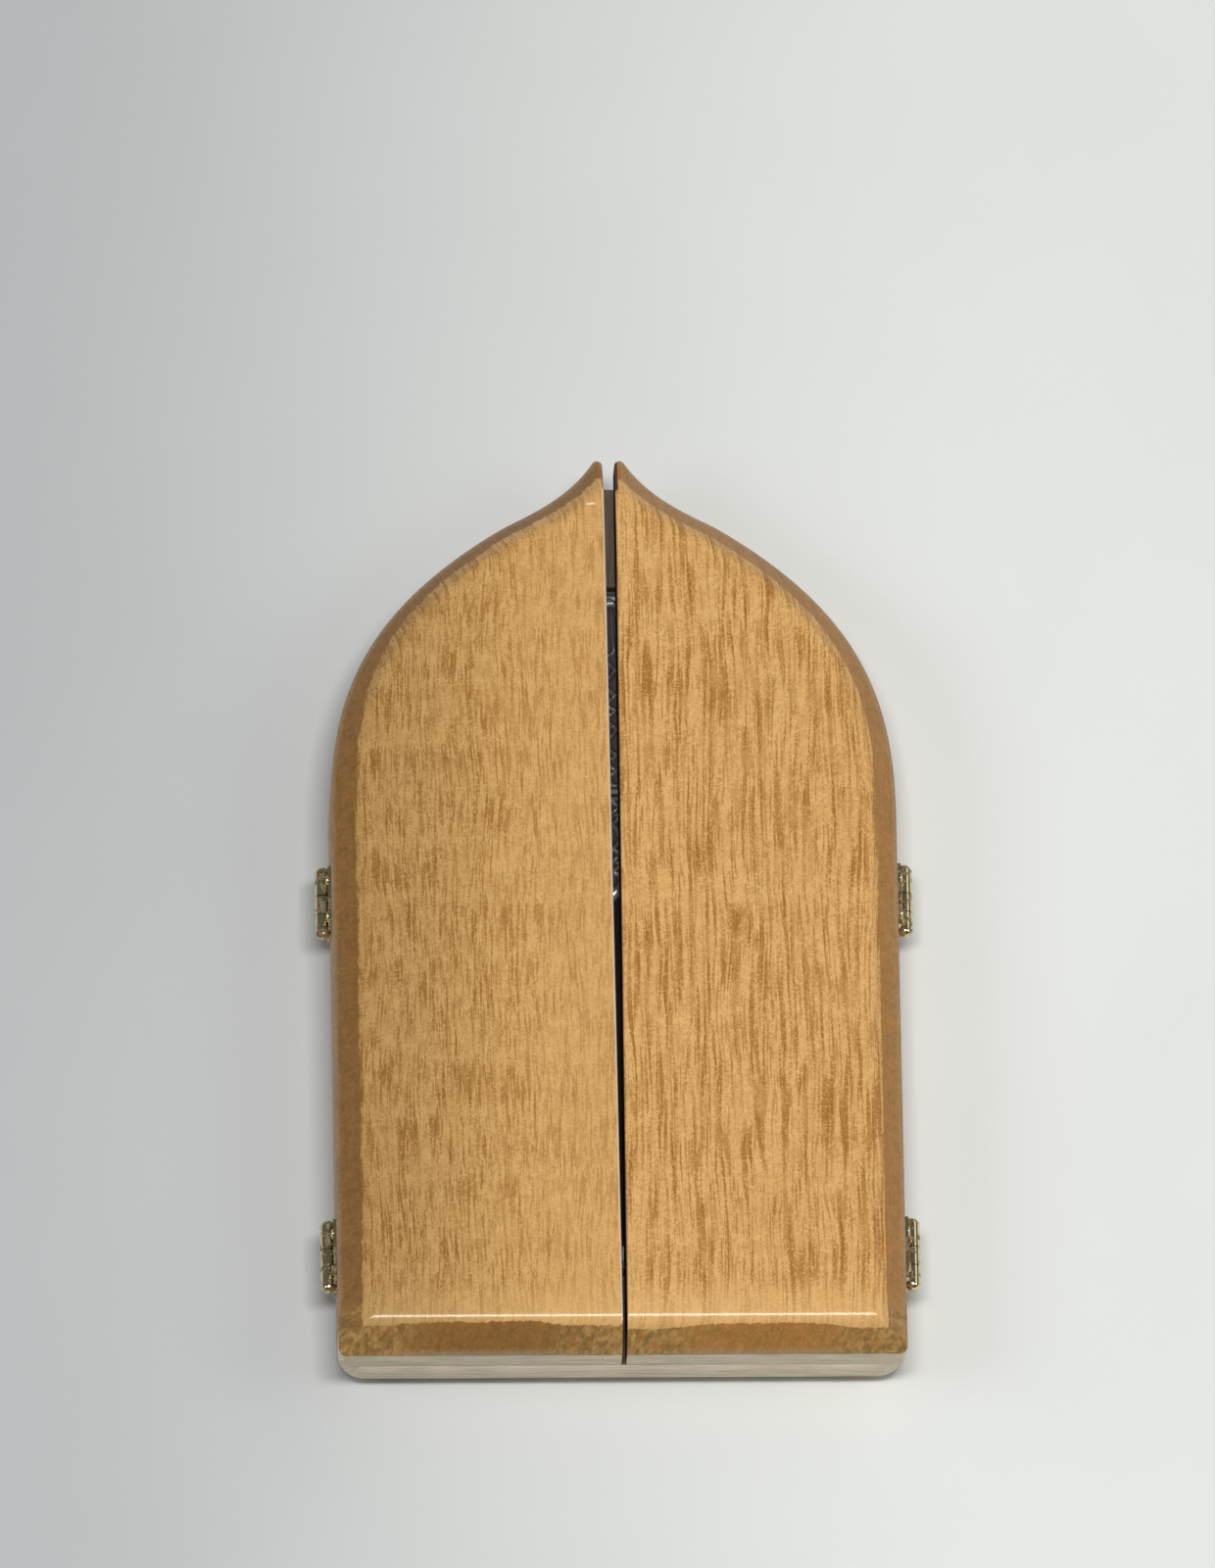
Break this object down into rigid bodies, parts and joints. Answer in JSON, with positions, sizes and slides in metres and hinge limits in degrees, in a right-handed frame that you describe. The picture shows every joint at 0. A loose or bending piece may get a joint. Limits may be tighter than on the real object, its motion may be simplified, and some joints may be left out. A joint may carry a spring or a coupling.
{
  "type": "pocket folding triptych",
  "caption": "Small ogee-topped wooden devotional triptych: back panel with a silvered relief plaque behind two hinged half doors.",
  "frame": {"origin": "middle of the closed, lying case, on the surface its back rests on", "axes": "+Z out of the doors' faces, +Y from the foot to the point, +X to the right seen from the front"},
  "size_m": [0.0844, 0.134, 0.0169],
  "materials": {
    "door_wood": "semi-gloss printed wood film",
    "back_wood": "semi-gloss printed wood film",
    "brass": "pale bright plate, slightly dulled",
    "silver": "silvered relief with dark oxidised ground"
  },
  "bodies": {
    "back": {"back_panel": "back_wood", "relief_plaque": "silver", "upper_left_hinge_back_leaf": "brass", "upper_left_back_nail_1": "brass", "upper_left_back_nail_2": "brass", "upper_left_hinge_pin": "brass", "lower_left_hinge_back_leaf": "brass", "lower_left_back_nail_1": "brass", "lower_left_back_nail_2": "brass", "lower_left_hinge_pin": "brass", "upper_right_hinge_back_leaf": "brass", "upper_right_back_nail_1": "brass", "upper_right_back_nail_2": "brass", "upper_right_hinge_pin": "brass", "lower_right_hinge_back_leaf": "brass", "lower_right_back_nail_1": "brass", "lower_right_back_nail_2": "brass", "lower_right_hinge_pin": "brass"},
    "left_door": {"left_door": "door_wood", "upper_left_hinge_door_leaf": "brass", "upper_left_door_nail_1": "brass", "upper_left_door_nail_2": "brass", "lower_left_hinge_door_leaf": "brass", "lower_left_door_nail_1": "brass", "lower_left_door_nail_2": "brass"},
    "right_door": {"right_door": "door_wood", "upper_right_hinge_door_leaf": "brass", "upper_right_door_nail_1": "brass", "upper_right_door_nail_2": "brass", "lower_right_hinge_door_leaf": "brass", "lower_right_door_nail_1": "brass", "lower_right_door_nail_2": "brass"}
  },
  "joints": [
    {"name": "left_door_hinge", "type": "hinge", "parent": "back", "child": "left_door", "pos_m": [-0.04115, 0, 0.00845], "axis": [0, -1, 0], "range_deg": [0, 180]},
    {"name": "right_door_hinge", "type": "hinge", "parent": "back", "child": "right_door", "pos_m": [0.04115, 0, 0.00845], "axis": [0, 1, 0], "range_deg": [0, 180]}
  ]
}
